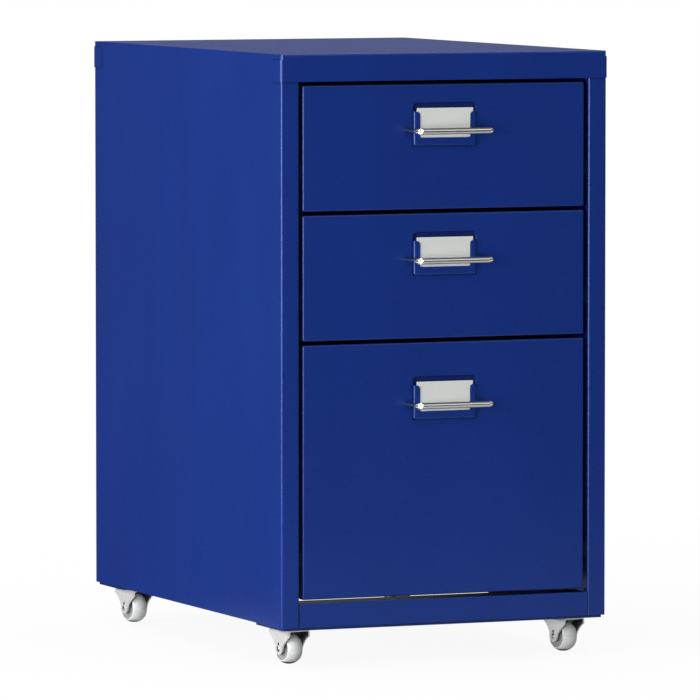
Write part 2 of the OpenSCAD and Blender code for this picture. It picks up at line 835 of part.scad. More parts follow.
drawer_front(2);  // bottom_drawer_front
drawer_box(2);  // bottom_drawer_box
drawer_rail(2, -1);  // bottom_drawer_rail_left
drawer_rail(2, 1);  // bottom_drawer_rail_right
drawer_glides(2);  // bottom_drawer_glides
label_holder(2);  // bottom_label_holder
label_card(2);  // bottom_label_card
pull(2);  // bottom_pull
pull_nuts(2);  // bottom_pull_nuts

fork(0, -1);  // fork_front_left
axle(0, -1);  // axle_front_left
wheel(0, -1);  // wheel_front_left
fork(0, 1);  // fork_front_right
axle(0, 1);  // axle_front_right
wheel(0, 1);  // wheel_front_right
fork(1, -1);  // fork_rear_left
axle(1, -1);  // axle_rear_left
wheel(1, -1);  // wheel_rear_left
fork(1, 1);  // fork_rear_right
axle(1, 1);  // axle_rear_right
wheel(1, 1);  // wheel_rear_right
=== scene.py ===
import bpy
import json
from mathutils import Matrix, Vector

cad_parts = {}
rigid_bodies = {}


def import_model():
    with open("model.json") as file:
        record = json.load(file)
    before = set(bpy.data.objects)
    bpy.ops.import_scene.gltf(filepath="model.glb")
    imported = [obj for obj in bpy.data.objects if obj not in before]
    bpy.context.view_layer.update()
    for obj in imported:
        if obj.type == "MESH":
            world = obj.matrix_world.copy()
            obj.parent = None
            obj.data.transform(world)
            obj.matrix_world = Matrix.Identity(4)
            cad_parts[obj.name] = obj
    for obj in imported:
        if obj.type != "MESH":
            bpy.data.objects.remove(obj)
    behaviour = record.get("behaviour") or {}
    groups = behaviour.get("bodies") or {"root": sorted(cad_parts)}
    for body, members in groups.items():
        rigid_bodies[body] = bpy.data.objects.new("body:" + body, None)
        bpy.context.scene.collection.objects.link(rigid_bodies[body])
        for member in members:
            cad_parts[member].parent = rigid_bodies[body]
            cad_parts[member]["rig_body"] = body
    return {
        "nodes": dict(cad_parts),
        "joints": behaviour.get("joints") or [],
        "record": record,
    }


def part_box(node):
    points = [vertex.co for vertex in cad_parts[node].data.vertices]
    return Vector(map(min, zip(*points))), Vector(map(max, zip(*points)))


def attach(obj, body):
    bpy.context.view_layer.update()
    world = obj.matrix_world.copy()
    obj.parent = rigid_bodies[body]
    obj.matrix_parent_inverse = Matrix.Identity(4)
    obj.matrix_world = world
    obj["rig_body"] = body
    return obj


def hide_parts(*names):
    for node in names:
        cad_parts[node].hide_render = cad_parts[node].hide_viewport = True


bl_info = {
    "name": "Three-drawer steel cabinet",
    "version": (1, 0, 0),
    "blender": (4, 5, 0),
    "location": "View3D > Sidebar > Cabinet",
    "description": "Dresses the packed solids of a small steel drawer cabinet on castors",
    "category": "Add Mesh",
}

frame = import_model()

import json
import math
from math import cos, pi, radians, sin

import bmesh
import bpy
from mathutils import Matrix, Vector

MM = 0.001
DRAWERS = ("top", "middle", "bottom")
CORNERS = ("front_left", "front_right", "rear_left", "rear_right")
SLOT = {part["node"]: part["material_slot"] for part in frame["record"]["subparts"]}
JOINT = {joint["child"]: joint for joint in frame["joints"]}
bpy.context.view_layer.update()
STUD_INSET = 3 * MM  # from the end of a pull to the middle of its stud


def linear(code):
    """An sRGB hex colour as linear values with full alpha."""
    channels = [int(code[i:i + 2], 16) / 255 for i in (1, 3, 5)]
    return tuple(c / 12.92 if c <= 0.04045 else ((c + 0.055) / 1.055) ** 2.4
                 for c in channels) + (1.0,)


# --------------------------------------------------------------------------------------
# Sizes and colours that a user would change


class CabinetSizes(bpy.types.PropertyGroup):
    edge: bpy.props.FloatProperty(
        name="Sheet edge", description="Rounding of the cut edges of the sheet steel",
        default=0.3 * MM, min=0.05 * MM, max=0.45 * MM, unit="LENGTH", precision=5)
    fold: bpy.props.FloatProperty(
        name="Holder fold", description="Outer radius of the folds of a label holder",
        default=1.9 * MM, min=0.8 * MM, max=2 * MM, unit="LENGTH", precision=5)
    holder_sheet: bpy.props.FloatProperty(
        name="Holder sheet", description="Thickness of a label holder's sheet",
        default=0.7 * MM, min=0.5 * MM, max=0.8 * MM, unit="LENGTH", precision=5)
    holder_side: bpy.props.FloatProperty(
        name="Holder side rim", description="Width of the rims beside the card",
        default=7.4 * MM, min=5 * MM, max=9 * MM, unit="LENGTH", precision=5)
    holder_foot: bpy.props.FloatProperty(
        name="Holder foot rim", description="Height of the rim below the card",
        default=9 * MM, min=5 * MM, max=10 * MM, unit="LENGTH", precision=5)
    holder_open: bpy.props.FloatProperty(
        name="Holder opening", description="Distance from a holder's top to its side rims",
        default=9.5 * MM, min=7 * MM, max=12 * MM, unit="LENGTH", precision=5)
    holder_corner: bpy.props.FloatProperty(
        name="Holder corner", description="Radius of a holder's upper corners",
        default=5 * MM, min=3 * MM, max=7 * MM, unit="LENGTH", precision=5)
    rim_corner: bpy.props.FloatProperty(
        name="Rim corner", description="Radius of the inner ends of the side rims",
        default=4 * MM, min=2 * MM, max=4.5 * MM, unit="LENGTH", precision=5)
    pull_bend: bpy.props.FloatProperty(
        name="Pull bend", description="Radius of a pull's bends, to the middle of its rod",
        default=3.7 * MM, min=3.6 * MM, max=6 * MM, unit="LENGTH", precision=5)
    pull_flat: bpy.props.FloatProperty(
        name="Pull arm", description="Height of the pull's flattened arms",
        default=3.2 * MM, min=2.5 * MM, max=3.4 * MM, unit="LENGTH", precision=5)
    pocket: bpy.props.FloatProperty(
        name="Pocket", description="Depth of the pressed pocket round a label holder",
        default=3.4 * MM, min=0.9 * MM, max=3.8 * MM, unit="LENGTH", precision=5)
    tread_side: bpy.props.FloatProperty(
        name="Tread side", description="Radius at which a wheel's barrel-shaped tread ends",
        default=13.8 * MM, min=13 * MM, max=15 * MM, unit="LENGTH", precision=5)


class CabinetColours(bpy.types.PropertyGroup):
    paint: bpy.props.FloatVectorProperty(
        name="Paint", description="Powder coat on the sheet steel", subtype="COLOR",
        size=4, min=0, max=1, default=linear("#122F7E"))
    galvanised: bpy.props.FloatVectorProperty(
        name="Runners", description="Galvanised sheet of the runners and rails",
        subtype="COLOR", size=4, min=0, max=1, default=linear("#BFC2C3"))
    zinc: bpy.props.FloatVectorProperty(
        name="Castor steel", description="Zinc plate on the forks and mount plates",
        subtype="COLOR", size=4, min=0, max=1, default=linear("#F0F0EE"))
    nickel: bpy.props.FloatVectorProperty(
        name="Pulls", description="Satin nickel on the pulls", subtype="COLOR",
        size=4, min=0, max=1, default=linear("#EAEAE2"))
    wheel: bpy.props.FloatVectorProperty(
        name="Wheels", description="Moulded nylon of the wheels", subtype="COLOR",
        size=4, min=0, max=1, default=linear("#E9EBE8"))
    card: bpy.props.FloatVectorProperty(
        name="Cards", description="Paper card in the label holders", subtype="COLOR",
        size=4, min=0, max=1, default=linear("#DADDD9"))
    floor: bpy.props.FloatVectorProperty(
        name="Floor", description="Pale studio floor", subtype="COLOR",
        size=4, min=0, max=1, default=linear("#F4F4F4"))


def sizes():
    return bpy.context.scene.cabinet_sizes


def colours():
    return bpy.context.scene.cabinet_colours


# --------------------------------------------------------------------------------------
# Materials


def add_node(tree, kind, links=None, **settings):
    """A new node: settings are its own values or its inputs' names, links are sockets."""
    made = tree.nodes.new(kind)
    for key, value in settings.items():
        if hasattr(made, key):
            setattr(made, key, value)
        else:
            made.inputs[key.replace("_", " ")].default_value = value
    for key, source in (links or {}).items():
        tree.links.new(source, made.inputs[key])
    return made


def material(name, **shader_settings):
    """A material with one main shader, and the object's coordinates in millimetres."""
    made = bpy.data.materials.new(name)
    made.use_nodes = True
    tree = made.node_tree
    tree.nodes.clear()
    shader = add_node(tree, "ShaderNodeBsdfPrincipled")
    for key, value in shader_settings.items():
        shader.inputs[key.replace("_", " ")].default_value = value
    add_node(tree, "ShaderNodeOutputMaterial", {"Surface": shader.outputs[0]})
    place = add_node(tree, "ShaderNodeTexCoord")
    in_mm = add_node(tree, "ShaderNodeMapping", {"Vector": place.outputs["Object"]},
                     Scale=(1 / MM,) * 3)
    return made, tree, shader, in_mm.outputs[0]


def noise(tree, vector, cell, detail=2.0, rough=0.5):
    """A noise whose features measure about the given number of millimetres."""
    return add_node(tree, "ShaderNodeTexNoise", {"Vector": vector}, Scale=1 / cell,
                    Detail=detail, Roughness=rough).outputs["Fac"]


def spread(tree, value, low, high, start=0.3, end=0.7):
    """Maps the middle of a noise on to a range."""
    return add_node(tree, "ShaderNodeMapRange", {"Value": value}, From_Min=start,
                    From_Max=end, To_Min=low, To_Max=high).outputs[0]


def stretched(tree, vector, scale):
    """The same coordinates, drawn out: a small factor lengthens the pattern that way."""
    return add_node(tree, "ShaderNodeMapping", {"Vector": vector}, Scale=scale).outputs[0]


def shaded(tree, factor, dark, light):
    """A colour between two, by a factor from 0 to 1."""
    mix = add_node(tree, "ShaderNodeMix", data_type="RGBA")
    for socket, value in ((0, factor), (6, dark), (7, light)):
        if isinstance(value, bpy.types.NodeSocket):
            tree.links.new(value, mix.inputs[socket])
        else:
            mix.inputs[socket].default_value = value
    return mix.outputs[2]


def bumped(tree, shader, height, distance_mm, strength=1.0, under=None):
    """Adds a bump whose full height is a real distance."""
    bump = add_node(tree, "ShaderNodeBump", {"Height": height},
                    Strength=strength, Distance=distance_mm * MM)
    if under:
        tree.links.new(under, bump.inputs["Normal"])
    tree.links.new(bump.outputs[0], shader.inputs["Normal"])
    return bump.outputs[0]


def tinted(colour, factor):
    """A colour made lighter or darker by a factor."""
    return tuple(min(1.0, c * factor) for c in colour[:3]) + (1.0,)


def occlusion_shade(tree, reach_mm, shut, clear, **settings):
    """0 in a recess and 1 in the open, from how much stands near within a reach: the mask
    for painted shade.
    """
    near = add_node(tree, "ShaderNodeAmbientOcclusion", Distance=reach_mm * MM, **settings)
    return spread(tree, near.outputs["AO"], 0, 1, shut, clear)


def coat(tree, shader, colour, rough=None):
    """Gives the shader its colour, and its roughness where that varies."""
    tree.links.new(colour, shader.inputs["Base Color"])
    if rough:
        tree.links.new(rough, shader.inputs["Roughness"])


def powder_coat():
    """Polyester powder coat, sprayed dry and baked on degreased sheet steel."""
    # Semi-gloss. It flows out to a fine orange peel of about 2 mm, and the thin sheet
    # under it is never quite flat, so a soft light breaks into broad, faint bands. Narrow
    # recesses are painted darker, as painted shade.
    made, tree, shader, mm = material("blue_powder_coat", Specular_IOR_Level=0.6, IOR=1.5,
                                      Specular_Tint=linear("#C4DCFF"))
    paint = colours().paint
    cloud = noise(tree, stretched(tree, mm, (1, 1, 0.35)), 90, 1.5)
    even = shaded(tree, spread(tree, cloud, 0, 1), tinted(paint, 0.95), tinted(paint, 1.05))
    # painted shade: narrow recesses darken towards a quarter of the paint's colour
    painted_shade_mask = occlusion_shade(tree, 8, 0.5, 0.95, samples=4)
    coat(tree, shader, shaded(tree, painted_shade_mask, tinted(paint, 0.25), even),
         spread(tree, noise(tree, mm, 14), 0.27, 0.29))
    wave = noise(tree, stretched(tree, mm, (1, 1, 0.3)), 160, 1.0)
    peel = noise(tree, mm, 2.2, 1.0)
    bumped(tree, shader, peel, 0.006, 0.4, under=bumped(tree, shader, wave, 0.9))
    return made


def galvanised_sheet():
    """Hot-dip galvanised sheet, rolled into runners and rails."""
    # Matt grey zinc with a spangle of flat crystals about 5 mm across, each a little
    # lighter or duller, under fine marks from the rolls.
    made, tree, shader, mm = material("galvanised_sheet", Metallic=1.0)
    base = colours().galvanised
    crystal = add_node(tree, "ShaderNodeTexVoronoi", {"Vector": mm}, Scale=1 / 5.0)
    tone = add_node(tree, "ShaderNodeSeparateColor", {"Color": crystal.outputs["Color"]})
    colour = shaded(tree, tone.outputs[0], tinted(base, 0.86), tinted(base, 1.08))
    coat(tree, shader, colour, spread(tree, tone.outputs[1], 0.34, 0.5, 0, 1))
    lines = noise(tree, stretched(tree, mm, (1, 0.04, 1)), 0.5)
    bumped(tree, shader, lines, 0.01, 0.5)
    return made


def zinc_plate():
    """Pressed steel with a bright electroplated zinc layer."""
    # Pale and faintly clouded, under a thin milky film that scatters most of the light.
    # The hollow of a fork is painted dull and nearly black, as painted shade.
    made, tree, shader, mm = material("bright_zinc_plate", Metallic=0.34)
    # the near-black grey is painted shade for the hollow of a fork
    base, painted_hollow_shade = colours().zinc, linear("#2C2D2F")
    cloud = spread(tree, noise(tree, mm, 6), 0, 1)
    plated = shaded(tree, cloud, tinted(base, 0.94), tinted(base, 1.03))
    # painted shade: the hollow of a fork is darkened towards the near-black grey
    painted_shade_mask = occlusion_shade(tree, 60, 0.6, 0.92, samples=8, only_local=True)
    coat(tree, shader, shaded(tree, painted_shade_mask, painted_hollow_shade, plated),
         spread(tree, noise(tree, mm, 3), 0.2, 0.28))
    bumped(tree, shader, noise(tree, mm, 0.8), 0.01, 0.15)
    return made


def turned_zinc():
    """Turned and headed steel, zinc plated: axles, rivets, kingpins, screws and nuts."""
    # Brighter and tighter than the pressed pieces, with fine rings from the tool.
    made, tree, shader, mm = material("zinc_plated_fastener", Metallic=1.0)
    base = tinted(colours().zinc, 0.92)
    cloud = spread(tree, noise(tree, mm, 1.6), 0, 1)
    colour = shaded(tree, cloud, tinted(base, 0.9), tinted(base, 1.05))
    coat(tree, shader, colour, spread(tree, noise(tree, mm, 1), 0.24, 0.36))
    bumped(tree, shader, noise(tree, mm, 0.35), 0.006, 0.5)
    return made


def satin_nickel():
    """Drawn steel rod, polished along its length and nickel plated."""
    # Warm silver. The polishing lines run along the bar, drawn 0.3 mm apart so that they
    # show, and smear the highlights across it.
    made, tree, shader, mm = material("satin_nickel", Metallic=1.0)
    base = colours().nickel
    lines = noise(tree, stretched(tree, mm, (0.03, 1, 1)), 0.3, 3.0)
    colour = shaded(tree, spread(tree, lines, 0, 1), tinted(base, 0.93), tinted(base, 1.04))
    coat(tree, shader, colour, spread(tree, lines, 0.16, 0.26))
    bumped(tree, shader, lines, 0.004, 0.5)
    return made


def wheel_nylon():
    """Injection-moulded white nylon of the castor wheels."""
    # Slightly translucent white with a dull sheen and the finest grain from the mould.
    # The recess of the disc and the faces that run close to the fork or the floor are
    # painted darker, as painted shade.
    made, tree, shader, mm = material(
        "moulded_white_nylon", IOR=1.53, Subsurface_Weight=0.25, Subsurface_Scale=1.5 * MM,
        Subsurface_Radius=(1.0, 0.9, 0.8))
    # the mid grey is painted shade for the disc's recess, the dark grey painted shade near
    # the fork and floor
    base, painted_disc_shade, painted_contact_shade = colours().wheel, linear("#A2A3A2"), linear("#3A3B3C")
    cloud = spread(tree, noise(tree, mm, 5), 0, 1)
    tread = shaded(tree, cloud, tinted(base, 0.97), tinted(base, 1.01))
    recess = add_node(tree, "ShaderNodeAttribute", attribute_name="recess")
    disc_shaded = shaded(tree, recess.outputs["Fac"], tread, painted_disc_shade)
    # painted shade: faces close to the fork or the floor darken towards the dark grey
    colour = shaded(tree, occlusion_shade(tree, 5, 0.3, 0.7, samples=8), painted_contact_shade, disc_shaded)
    coat(tree, shader, colour, spread(tree, noise(tree, mm, 2), 0.3, 0.42))
    bumped(tree, shader, noise(tree, mm, 0.6), 0.008, 0.4)
    return made


def glide_nylon():
    """Cut nylon glides in the ends of the rails."""
    # Natural, slightly yellow nylon with sliding marks lengthways.
    made, tree, shader, mm = material("natural_nylon_glide", IOR=1.53)
    lines = noise(tree, stretched(tree, mm, (1, 0.05, 1)), 0.4, 3.0)
    colour = shaded(tree, spread(tree, lines, 0, 1), linear("#D9D6C6"), linear("#E6E4D8"))
    coat(tree, shader, colour, spread(tree, lines, 0.38, 0.55))
    bumped(tree, shader, lines, 0.02, 0.5)
    return made


def paper_card():
    """Uncoated paper card, cut to slide into the label holders."""
    # Matt warm white. The fibres are drawn 0.8 mm long so that they show.
    made, tree, shader, mm = material("uncoated_paper_card", IOR=1.45, Roughness=0.85,
                                      Specular_IOR_Level=0.25)
    base = colours().card
    fibre = noise(tree, stretched(tree, mm, (0.5, 1, 1)), 0.8, 4.0, 0.7)
    colour = shaded(tree, spread(tree, fibre, 0, 1), tinted(base, 0.95), tinted(base, 1.03))
    coat(tree, shader, colour)
    bumped(tree, shader, fibre, 0.03, 0.6)
    return made


FINISHES = {
    "blue_enamel": powder_coat,
    "galvanised_steel": galvanised_sheet,
    "zinc_plate": zinc_plate,
    "bright_zinc": turned_zinc,
    "nickel_plate": satin_nickel,
    "wheel_nylon": wheel_nylon,
    "glide_nylon": glide_nylon,
    "card_stock": paper_card,
}
finish_made = {}


def finish(slot):
    """The material of one of the record's slots, made when it is first asked for."""
    if slot not in finish_made:
        finish_made[slot] = FINISHES[slot]()
    return finish_made[slot]


# --------------------------------------------------------------------------------------
# Shared shapes


def body_of(node):
    """The body that a CAD node rides on."""
    return frame["nodes"][node]["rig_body"]


def add_piece(name, bm, *nodes, smooth_below=35):
    """Turns a bmesh into a piece that stands for CAD nodes and rides where they ride."""
    mesh = bpy.data.meshes.new(name)
    bm.to_mesh(mesh)
    bm.free()
    for face in mesh.polygons:
        face.use_smooth = True
    mesh.set_sharp_from_angle(angle=radians(smooth_below))
    mesh.materials.append(finish(SLOT[nodes[0]]))
    piece = bpy.data.objects.new(name, mesh)
    bpy.context.scene.collection.objects.link(piece)
    weigh = piece.modifiers.new("flat faces stay flat", "WEIGHTED_NORMAL")
    weigh.keep_sharp = True
    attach(piece, body_of(nodes[0]))
    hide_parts(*nodes)
    return piece


def close_up(bm):
    """Merges doubles and points every face outwards."""
    bmesh.ops.remove_doubles(bm, verts=bm.verts, dist=0.001 * MM)
    bmesh.ops.recalc_face_normals(bm, faces=bm.faces)


def round_edges(bm, edges, radius, segments):
    bmesh.ops.bevel(bm, geom=edges, offset=radius, offset_type="OFFSET", segments=segments,
                    profile=0.5, affect="EDGES", clamp_overlap=True, material=-1)


def added_verts(out):
    """The vertices among what an operator has made."""
    return [v for v in out["geom"] if isinstance(v, bmesh.types.BMVert)]


def thicken(bm, sheet):
    """Turns an open shell's faces to the front, then gives it the sheet's thickness."""
    bmesh.ops.recalc_face_normals(bm, faces=bm.faces)
    if sum(f.normal.y * f.calc_area() for f in bm.faces) > 0:
        bmesh.ops.reverse_faces(bm, faces=bm.faces)
    bmesh.ops.solidify(bm, geom=bm.faces, thickness=sheet)
    bmesh.ops.recalc_face_normals(bm, faces=bm.faces)


def sharp_edges(bm, angle=35):
    """Convex edges where two faces meet at more than the angle."""
    return [e for e in bm.edges if len(e.link_faces) == 2 and e.is_convex
            and e.calc_face_angle(0) > radians(angle)]


def dressed(node, radius, segments=2, deeper=0):
    """A copy of a CAD node with its cut edges rounded, as deburred sheet has them.

    The flange at the node's back can be made deeper."""
    bm = bmesh.new()
    bm.from_mesh(frame["nodes"][node].data)
    bmesh.ops.remove_doubles(bm, verts=bm.verts, dist=0.001 * MM)
    bmesh.ops.dissolve_limit(bm, angle_limit=radians(0.5), use_dissolve_boundaries=False,
                             verts=bm.verts, edges=bm.edges, delimit={"NORMAL"})
    back = max(v.co.y for v in bm.verts)
    bmesh.ops.translate(bm, vec=(0, deeper, 0),
                        verts=[v for v in bm.verts if v.co.y > back - 0.1 * MM])
    round_edges(bm, sharp_edges(bm), radius, segments)
    return add_piece("dressed_" + node, bm, node)


def lathe(profile, closed=False, steps=64):
    """Spins an outline of (radius, height) points in millimetres about Z."""
    bm = bmesh.new()
    points = [bm.verts.new((r * MM, 0, z * MM)) for r, z in profile]
    pairs = list(zip(points, points[1:])) + ([(points[-1], points[0])] if closed else [])
    edges = [bm.edges.new(pair) for pair in pairs]
    bmesh.ops.spin(bm, geom=points + edges, cent=(0, 0, 0), axis=(0, 0, 1), dvec=(0, 0, 0),
                   angle=2 * pi, steps=steps, use_merge=True, use_duplicate=False)
    close_up(bm)
    return bm


def arc(centre, radius, start, end, steps):
    """Points in (radius, height) along an arc, angles in degrees."""
    return [(centre[0] + radius * cos(radians(start + (end - start) * k / steps)),
             centre[1] + radius * sin(radians(start + (end - start) * k / steps)))
            for k in range(steps + 1)]


def along(axis):
    """Turns Z on to the given axis."""
    return Vector((0, 0, 1)).rotation_difference(Vector(axis)).to_matrix().to_4x4()


def set_at_joint(bm, joint):
    """Moves a shape made about Z at the origin on to a joint's axis."""
    bmesh.ops.transform(bm, verts=bm.verts,
                        matrix=Matrix.Translation(joint["pos_m"]) @ along(joint["axis"]))


def join_into(target, other, matrix=Matrix()):
    """Adds one bmesh to another in its place, and frees it."""
    bmesh.ops.transform(other, matrix=matrix, verts=other.verts)
    scratch = bpy.data.meshes.new("scratch")
    other.to_mesh(scratch)
    other.free()
    target.from_mesh(scratch)
    bpy.data.meshes.remove(scratch)


# --------------------------------------------------------------------------------------
# Pieces


class DressOperator:
    """What every operator here shares."""
    bl_options = {"REGISTER", "UNDO"}


class CABINET_OT_sheet_steel(DressOperator, bpy.types.Operator):
    """Sides, cover, back, rail and castor plates of the body, with deburred edges"""
    bl_idname = "cabinet.sheet_steel"
    bl_label = "Sheet steel body"

    def execute(self, context):
        for node in ("left_side_panel", "right_side_panel", "back_panel", "top_cover",
                     "front_castor_plate", "rear_castor_plate"):
            dressed(node, sizes().edge)
        # a deeper flange leaves only a thin line of light under the bottom drawer
        dressed("bottom_rail", sizes().edge, deeper=5 * MM)
        return {"FINISHED"}


class CABINET_OT_drawers(DressOperator, bpy.types.Operator):
    """Folded drawer fronts with a pressed pocket for the label holder, and their boxes"""
    bl_idname = "cabinet.drawers"
    bl_label = "Drawers"

    def execute(self, context):
        for drawer in DRAWERS:
            self.fold_front(drawer)
            dressed(drawer + "_drawer_box", sizes().edge)
        return {"FINISHED"}

    def fold_front(self, drawer):
        low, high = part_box(drawer + "_drawer_front")
        holder_low, holder_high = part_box(drawer + "_label_holder")
        pull_low, pull_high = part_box(drawer + "_pull")
        sheet, fold, hole = 1 * MM, 2 * MM, 1.55 * MM
        # the pocket's play round the holder, its wall's run and its edges' radius
        play, slope, press = 0.5 * MM, 1.1 * MM, 0.45 * MM
        bm = bmesh.new()
        outer = self.loop(bm, [(low.x, low.z), (high.x, low.z),
                               (high.x, high.z), (low.x, high.z)])
        around = [(holder_low.x - play, holder_low.z),
                  (holder_high.x + play, holder_low.z),
                  (holder_high.x + play, holder_high.z + play),
                  (holder_low.x - play, holder_high.z + play)]
        pocket = self.rounded(bm, around, sizes().holder_corner + play)
        holes = []
        for side in (-1, 1):
            circle = bmesh.ops.create_circle(bm, radius=hole, segments=20, matrix=(
                Matrix.Translation((side * (pull_high.x - STUD_INSET), 0,
                                    (pull_low.z + pull_high.z) / 2))
                @ Matrix.Rotation(pi / 2, 4, "X")))
            holes += {e for v in circle["verts"] for e in v.link_edges}
        bmesh.ops.triangle_fill(bm, use_beauty=True, use_dissolve=True,
                                edges=outer + pocket + holes, normal=(0, -1, 0))
        # the pocket's sloping wall and its floor
        out = bmesh.ops.extrude_edge_only(bm, edges=pocket)
        inner = added_verts(out)
        floor = [e for e in out["geom"] if isinstance(e, bmesh.types.BMEdge)
                 and all(v in inner for v in e.verts)]
        middle = [(a + b) / 2 for a, b in zip(holder_low, holder_high)]
        for v in inner:
            v.co.y += sizes().pocket
            for axis in (0, 2):
                span = (holder_high[axis] - holder_low[axis]) / 2 + play
                v.co[axis] = middle[axis] + (v.co[axis] - middle[axis]) * (1 - slope / span)
        bmesh.ops.edgenet_fill(bm, edges=floor)
        round_edges(bm, pocket + floor, press, 2)
        # the folds round the front
        rim = [e for e in bm.edges
               if e.is_boundary and all(self.on_rim(v, low, high) for v in e.verts)]
        out = bmesh.ops.extrude_edge_only(bm, edges=rim)
        bmesh.ops.translate(bm, verts=added_verts(out), vec=(0, high.y - low.y, 0))
        corners = [e for e in bm.edges
                   if len(e.link_faces) == 2 and e.calc_face_angle(0) > 1
                   and all(self.on_rim(v, low, high) for v in e.verts)]
        round_edges(bm, corners, fold, 5)
        thicken(bm, sheet)
        bmesh.ops.translate(bm, verts=bm.verts, vec=(0, low.y, 0))
        add_piece(drawer + "_folded_front", bm, drawer + "_drawer_front")

    def loop(self, bm, outline):
        """A closed loop of edges through (x, z) points."""
        verts = [bm.verts.new((x, 0, z)) for x, z in outline]
        return [bm.edges.new((a, b)) for a, b in zip(verts, verts[1:] + verts[:1])]

    def rounded(self, bm, outline, radius):
        """A closed outline whose two upper corners are rounded."""
        (x0, z0), (x1, _), (_, z1), _ = outline
        points = [(x0, z0), (x1, z0)]
        for cx, start in ((x1 - radius, 0), (x0 + radius, 90)):
            points += arc((cx, z1 - radius), radius, start, start + 90, 7)
        return self.loop(bm, points)

    def on_rim(self, vert, low, high):
        """Whether a vertex lies on the outline of the front."""
        return any(abs(vert.co[axis] - end[axis]) < 0.01 * MM
                   for axis in (0, 2) for end in (low, high))


class CABINET_OT_runners(DressOperator, bpy.types.Operator):
    """Runners in the cabinet, and rails with glides on the drawers"""
    bl_idname = "cabinet.runners"
    bl_label = "Runners and rails"

    def execute(self, context):
        for drawer in DRAWERS:
            for side in ("left", "right"):
                dressed(f"runner_{drawer}_{side}", sizes().edge)
                dressed(f"{drawer}_drawer_rail_{side}", sizes().edge)
            dressed(drawer + "_drawer_glides", sizes().edge)
        return {"FINISHED"}


class CABINET_OT_label_holders(DressOperator, bpy.types.Operator):
    """Folded sheet holders with a rim over the card at the sides and the foot"""
    bl_idname = "cabinet.label_holders"
    bl_label = "Label holders"

    def execute(self, context):
        for drawer in DRAWERS:
            self.fold_holder(drawer)
        return {"FINISHED"}

    def fold_holder(self, drawer):
        size = sizes()
        low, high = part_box(drawer + "_label_holder")
        width, height, proud = high.x - low.x, high.z - low.z, high.y - low.y
        plate_edge, clear = 0.2 * MM, 0.05 * MM
        bm = bmesh.new()
        # the plate behind the card
        half = width / 2
        corners = [(-half, -height), (half, -height), (half, 0), (-half, 0)]
        plate = bm.faces.new([bm.verts.new((x, 0, z)) for x, z in corners])
        bmesh.ops.bevel(bm, geom=[v for v in plate.verts if v.co.z > -height / 2],
                        offset=size.holder_corner, offset_type="OFFSET", segments=6,
                        profile=0.5, affect="VERTICES", material=-1)
        out = bmesh.ops.extrude_face_region(bm, geom=list(bm.faces))
        bmesh.ops.translate(bm, vec=(0, -size.holder_sheet, 0), verts=added_verts(out))
        bmesh.ops.recalc_face_normals(bm, faces=bm.faces)
        front = [e for e in sharp_edges(bm)
                 if all(v.co.y < -size.holder_sheet / 2 for v in e.verts)]
        round_edges(bm, front, plate_edge, 2)
        bmesh.ops.translate(bm, vec=(0, size.pocket - clear, 0), verts=bm.verts)
        join_into(bm, self.rim(width, height, proud))
        bmesh.ops.translate(bm, vec=(0, high.y, high.z), verts=bm.verts)
        add_piece(drawer + "_folded_holder", bm, drawer + "_label_holder")

    def rim(self, width, height, proud):
        """The rim: a flat U whose outer edges fold back on to the plate."""
        size = sizes()
        half, top = width / 2, -size.holder_open
        inner, foot = half - size.holder_side, size.holder_foot - height
        foot_corner = 1.6 * MM
        short = 0.3 * MM  # the folds end a little short of the pocket's floor
        bm = bmesh.new()
        outline = [(-half, top), (-half, -height), (half, -height), (half, top),
                   (inner, top), (inner, foot), (-inner, foot), (-inner, top)]
        bm.faces.new([bm.verts.new((x, -proud, z)) for x, z in outline])
        for height_z, radius in ((top, size.rim_corner), (foot, foot_corner)):
            bmesh.ops.bevel(bm, geom=[v for v in bm.verts if abs(v.co.x) < half - MM
                                      and abs(v.co.z - height_z) < 0.1 * MM],
                            offset=radius, offset_type="OFFSET", segments=7,
                            profile=0.5, affect="VERTICES", material=-1)
        outer = [e for e in bm.edges
                 if all(abs(v.co.x) > half - 0.01 * MM for v in e.verts)
                 or all(v.co.z < 0.01 * MM - height for v in e.verts)]
        out = bmesh.ops.extrude_edge_only(bm, edges=outer)
        bmesh.ops.translate(bm, vec=(0, proud + size.pocket - short, 0),
                            verts=added_verts(out))
        round_edges(bm, [e for e in bm.edges if len(e.link_faces) == 2], size.fold, 4)
        thicken(bm, size.holder_sheet)
        return bm


class CABINET_OT_label_cards(DressOperator, bpy.types.Operator):
    """Blank paper cards in the label holders"""
    bl_idname = "cabinet.label_cards"
    bl_label = "Label cards"

    def execute(self, context):
        for drawer in DRAWERS:
            dressed(drawer + "_label_card", 0.1 * MM, 1)
        return {"FINISHED"}


